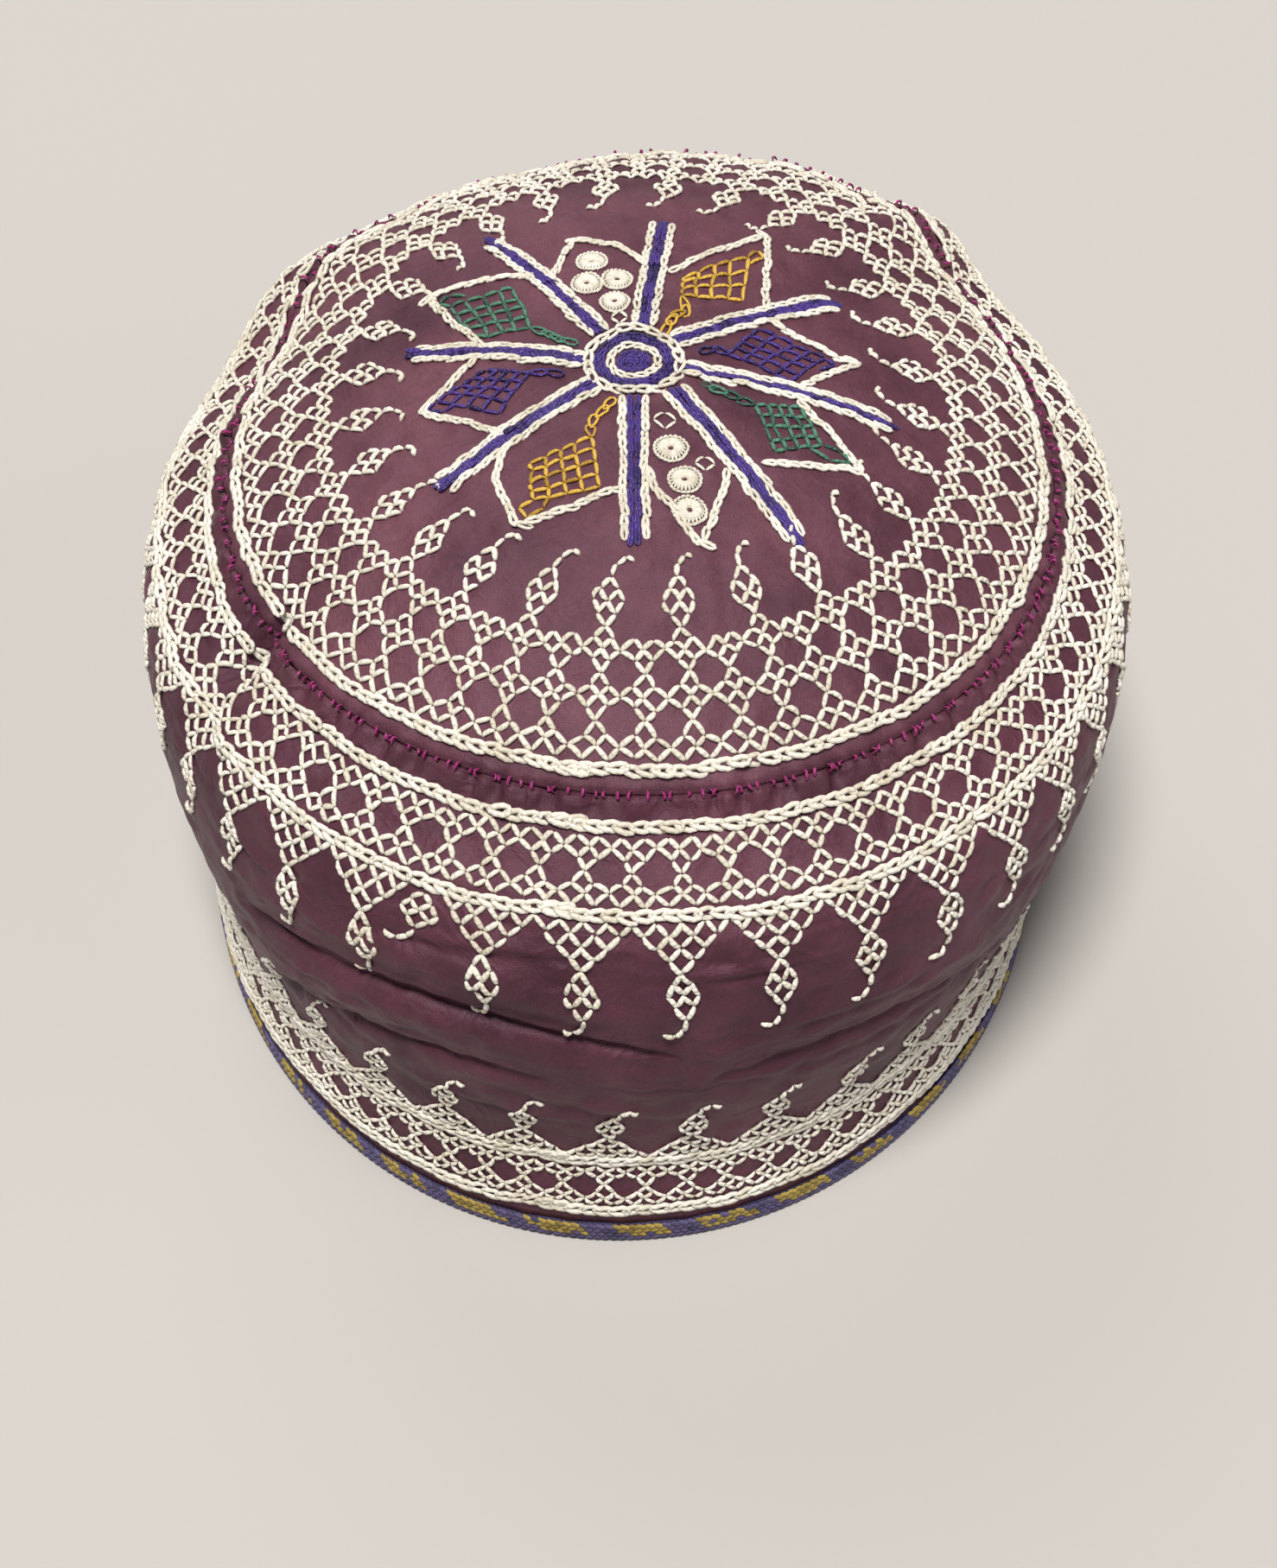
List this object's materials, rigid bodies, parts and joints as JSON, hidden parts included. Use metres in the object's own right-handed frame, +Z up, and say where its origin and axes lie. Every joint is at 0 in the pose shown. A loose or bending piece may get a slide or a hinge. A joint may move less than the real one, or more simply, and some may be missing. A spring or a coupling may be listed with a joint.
{
  "type": "skullcap",
  "caption": "Soft embroidered skullcap with a domed round crown panel, a deep side band and a woven braid round the rim.",
  "frame": {"origin": "middle of the plan outline, on the plane that the rim stands on", "axes": "+Z up, through the crown; -Y toward the front of the cap; +X toward the wearer's left"},
  "size_m": [0.1824, 0.2098, 0.1138],
  "materials": {
    "plum_satin": "satin",
    "woven_braid": "matt"
  },
  "bodies": {
    "root": {"crown_panel": "plum_satin", "side_band": "plum_satin", "edging_braid": "woven_braid"}
  },
  "joints": []
}
